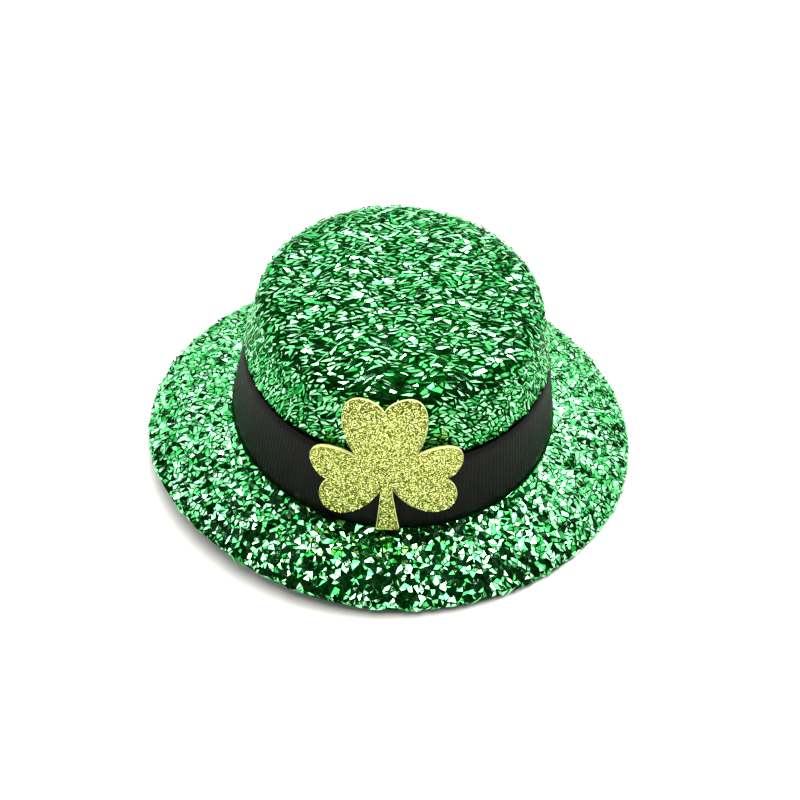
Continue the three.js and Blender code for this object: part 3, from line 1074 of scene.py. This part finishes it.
points = np.concatenate([laid(flat + out * bulge, depth) for depth, bulge in RIM_LEVELS])
top_level = (len(RIM_LEVELS) - 1) * len(flat)
faces = [t[::-1] for t in cut] + [[i + top_level for i in t] for t in cut]
of_face = [1] * len(cut) + [0] * len(cut)
for low in range(0, top_level, len(flat)):
    high = low + len(flat)
    faces += [[a + low, b + low, b + high, a + high] for a, b in edges]
    of_face += [1] * len(edges)
points, faces = only_used(points, faces)
shamrock = new_object("foam_shamrock", points, faces, [foam_face, foam_cut], of_face)
print("shamrock:", len(faces), "faces")

# %% [markdown]
# Glitter is a layer of tiny foil grains stuck to the foam. A second tree scatters them: points
# are spread at random with a least distance, a grain from a small collection is set on each, and
# each is spun, tipped, lifted and sized at random. It ends by turning the instances into plain
# mesh, because an export keeps no instances.

# %% The glitter tree
GRAIN_PICKS = 1000


def glitter_tree():
    """A tree that scatters grains over a surface, and the identifiers of its inputs."""
    kinds = {
        "Surface": "Geometry", "Grains": "Collection", "Spacing": "Float", "Per Area": "Float",
        "Smallest": "Vector", "Largest": "Vector", "Tip": "Vector", "Lift": "Float",
        "Seed": "Int", "Finish": "Material",
    }
    tree, sockets, given = new_tree("scatter glitter", kinds)
    seed = given["Seed"]
    spread = add(
        tree, "GeometryNodeDistributePointsOnFaces",
        [
            ("Mesh", given["Surface"]), ("Distance Min", given["Spacing"]),
            ("Density Max", given["Per Area"]), ("Seed", seed),
        ],
        distribute_method="POISSON",
    )
    grains = add(
        tree, "GeometryNodeCollectionInfo",
        [("Collection", given["Grains"]), ("Separate Children", True), ("Reset Children", True)],
    )
    size = chance(tree, seed, "FLOAT_VECTOR", given["Smallest"], given["Largest"], 2)
    placed = add(
        tree, "GeometryNodeInstanceOnPoints",
        [
            ("Points", spread.outputs["Points"]), ("Instance", grains.outputs[0]),
            ("Pick Instance", True),
            ("Instance Index", chance(tree, seed, "INT", 0, GRAIN_PICKS, 1)),
            ("Rotation", spread.outputs["Rotation"]), ("Scale", size),
        ],
    )
    back_tip = vector_math(tree, "SCALE", given["Tip"], -1.0)
    tip = chance(tree, seed, "FLOAT_VECTOR", back_tip, given["Tip"], 3)
    tipped = add(
        tree, "GeometryNodeRotateInstances",
        [("Instances", placed.outputs[0]), ("Rotation", tip), ("Local Space", True)],
    )
    height = chance(tree, seed, "FLOAT", 0.0, given["Lift"], 4)
    up = vector_math(tree, "SCALE", spread.outputs["Normal"], height)
    lifted = add(
        tree, "GeometryNodeTranslateInstances",
        [("Instances", tipped.outputs[0]), ("Translation", up), ("Local Space", False)],
    )
    tone = chance(tree, seed, "FLOAT", 0.0, 1.0, 5)
    close_tree(tree, toned(tree, lifted.outputs[0], "INSTANCE", tone), given["Finish"])
    return tree, sockets


# %% [markdown]
# The grains lie on a copy of the foam's face that stops short of the rim, a hair above the foam,
# so the cut rim stays bare. A few different grains, cut with five or six corners and one unit
# long, are enough, because each one is turned and sized by chance. They aren't part of the hat
# themselves, so they are put away once they are used.

# %% Glitter grains
GLITTER_INSET = 0.25
GLITTER_CLEARANCE = 0.02
GRAIN_KINDS = 6
GRAIN_CORNERS = (5, 6)
GRAIN_REACH = (0.36, 0.5)
GRAIN_STRAY = 0.28
GRAIN_NARROW = 0.8
GRAIN_CRUMPLE = 0.04
GRAIN_SEED = 21


def grain_shelf():
    """Cut grains of foil, one unit long, in a collection of their own."""
    draw = np.random.default_rng(GRAIN_SEED)
    shelf = bpy.data.collections.new("grains")
    for k in range(GRAIN_KINDS):
        n = int(draw.integers(GRAIN_CORNERS[0], GRAIN_CORNERS[1] + 1))
        stray = draw.uniform(-GRAIN_STRAY, GRAIN_STRAY, n)
        turns = (np.arange(n) + 0.5 + stray) * 2 * math.pi / n
        reach = draw.uniform(*GRAIN_REACH, n)
        bend = draw.uniform(-GRAIN_CRUMPLE, GRAIN_CRUMPLE, n)
        rim = np.stack([reach * np.cos(turns), reach * GRAIN_NARROW * np.sin(turns), bend], 1)
        fan = [(i, (i + 1) % n, n) for i in range(n)]
        mesh = bpy.data.meshes.new(f"grain {k}")
        mesh.from_pydata([*rim.tolist(), (0.0, 0.0, GRAIN_CRUMPLE)], [], fan)
        mesh.update()
        shelf.objects.link(bpy.data.objects.new(f"grain {k}", mesh))
    return shelf


scatter, scatter_inputs = glitter_tree()
grains = grain_shelf()
points = laid(flat - out * GLITTER_INSET, FOAM_THICKNESS + GLITTER_CLEARANCE)
glitter = grown(
    "shamrock_glitter",
    new_object("shamrock surface", points, cut),
    scatter, scatter_inputs,
    Grains=grains,
    Spacing=0.3 * MM,
    Per_Area=10.0 / MM**2,
    Smallest=(0.45 * MM, 0.4 * MM, 0.5 * MM),
    Largest=(0.8 * MM, 0.68 * MM, 0.7 * MM),
    Tip=(0.26, 0.26, math.pi),
    Lift=0.1 * MM,
    Seed=8,
    Finish=foil_gold,
)
for grain in list(grains.objects):
    bpy.data.objects.remove(grain)
bpy.data.collections.remove(grains)

# %% [markdown]
# The clip under the left of the brim is plain bent spring steel. It doesn't show in the picture.
# The solid has the right shape already, so nothing is modelled anew: a copy of it is merged into
# one skin and its sharp edges are rounded with a narrow bevel, as on pressed sheet metal.

# %% Clip
STEEL_TONES = [(0.3, (0.42, 0.43, 0.44)), (0.7, (0.58, 0.59, 0.60))]
CLIP_WELD = 0.01
CLIP_FLAT_ANGLE = math.radians(1.0)
CLIP_BEVEL = 0.22
CLIP_SHARP_ANGLE = math.radians(40)

clip_steel, shader = grained_finish(
    "spring steel", STEEL_TONES,
    scale=420.0, detail=4.0, roughness=(0.2, 0.38), strength=0.1, depth=0.0001,
)
shader.inputs["Metallic"].default_value = 1.0

mesh = frame["nodes"]["clip"].data.copy()
mesh.name = "hair_clip"
mesh.materials.clear()
mesh.materials.append(clip_steel)
hair_clip = bpy.data.objects.new("hair_clip", mesh)
bpy.context.scene.collection.objects.link(hair_clip)
weld = hair_clip.modifiers.new("weld", "WELD")
weld.merge_threshold = CLIP_WELD * MM
flatten = hair_clip.modifiers.new("flatten", "DECIMATE")
flatten.decimate_type = "DISSOLVE"
flatten.angle_limit = CLIP_FLAT_ANGLE
bevel = hair_clip.modifiers.new("bevel", "BEVEL")
bevel.width = CLIP_BEVEL * MM
bevel.segments = 2
bevel.limit_method = "ANGLE"
bevel.angle_limit = CLIP_SHARP_ANGLE
ready = bpy.context.evaluated_depsgraph_get()
hair_clip.data = bpy.data.meshes.new_from_object(hair_clip.evaluated_get(ready), depsgraph=ready)
hair_clip.modifiers.clear()
print("clip:", len(hair_clip.data.polygons), "faces")

# %% [markdown]
# The floor is one wide, pale, matt sheet under the hat. It isn't part of the hat.

# %% Floor
FLOOR_HALF = 3.0
FLOOR_COLOUR = (0.93, 0.93, 0.91, 1.0)
FLOOR_ROUGHNESS = 0.9

floor_mesh = bpy.data.meshes.new("floor")
signs = ((-1, -1), (1, -1), (1, 1), (-1, 1))
floor_corners = [(side * FLOOR_HALF, depth * FLOOR_HALF, 0) for side, depth in signs]
floor_mesh.from_pydata(floor_corners, [], [(0, 1, 2, 3)])
floor = bpy.data.objects.new("floor", floor_mesh)
bpy.context.scene.collection.objects.link(floor)
floor_white, _, shader = new_finish("pale floor")
shader.inputs["Base Color"].default_value = FLOOR_COLOUR
shader.inputs["Roughness"].default_value = FLOOR_ROUGHNESS
floor_mesh.materials.append(floor_white)
print("floor:", 2 * FLOOR_HALF, "m wide")

# %% [markdown]
# Foil shows what it mirrors, so the lights make the look. There is a large soft light overhead,
# with softer panels at the sides and behind and a low one in front. The rest of the camera's side
# is left dark: chips that face the camera turn dark, and chips that face the lights flash. The dim
# surround has a green tinge, so the dark chips stay bottle green. The table gives each light's
# place and size in metres, its brightness and its colour.

# %% Light
SOFT_LIGHTS = [
    ("overhead softbox", (0.12, -0.03, 1.4), (1.5, 0.62), 9.5, (1.0, 0.99, 0.94)),
    ("back panel", (0.0, 1.6, 1.2), (3.6, 2.4), 2.0, (1.0, 1.0, 1.0)),
    ("left panel", (-1.5, 0.3, 0.65), (1.6, 1.3), 2.3, (1.0, 1.0, 1.0)),
    ("right panel", (1.5, 0.3, 0.65), (1.6, 1.3), 2.0, (1.0, 1.0, 1.0)),
    ("front fill", (0.0, -1.6, 0.2), (2.4, 0.4), 2.6, (1.0, 1.0, 1.0)),
]
LIGHT_AIM = Vector((0, 0, 0.02))
SURROUND_COLOUR = (0.6, 1.0, 0.68, 1.0)
SURROUND_STRENGTH = 0.026

for name, place, size, brightness, colour in SOFT_LIGHTS:
    lamp = bpy.data.lights.new(name, "AREA")
    lamp.shape = "RECTANGLE"
    lamp.size, lamp.size_y = size
    lamp.energy = brightness * math.pi * size[0] * size[1]
    lamp.color = colour
    holder = bpy.data.objects.new(name, lamp)
    holder.location = place
    holder.rotation_euler = (LIGHT_AIM - Vector(place)).to_track_quat("-Z", "Y").to_euler()
    bpy.context.scene.collection.objects.link(holder)

world = bpy.data.worlds.new("studio")
bpy.context.scene.world = world
world.use_nodes = True
surround = world.node_tree.nodes["Background"].inputs
surround["Color"].default_value = SURROUND_COLOUR
surround["Strength"].default_value = SURROUND_STRENGTH
bpy.context.scene.view_settings.view_transform = "Standard"
print("lights:", len(SOFT_LIGHTS))

# %% [markdown]
# Each piece is tied to the hat's one body, and the solid that it stands for is hidden. The ribbon
# is cloth that was cut flat, the foam is padding that is quite firm, and the crown and the brim
# are moulded stiff.

# %% Ties
TIES = [
    (crown_shell, "foil_cloth", "crown"),
    (crown_chips, "foil_cloth", None),
    (brim_shell, "foil_cloth", "brim"),
    (brim_chips, "foil_cloth", None),
    (ribbon_band, "ribbon", "band"),
    (shamrock, "glitter_foam", "shamrock"),
    (glitter, "glitter_foam", None),
    (hair_clip, "clip_steel", "clip"),
]
for piece, finish, node in TIES:
    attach(piece, "root")
    if node:
        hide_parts(node)
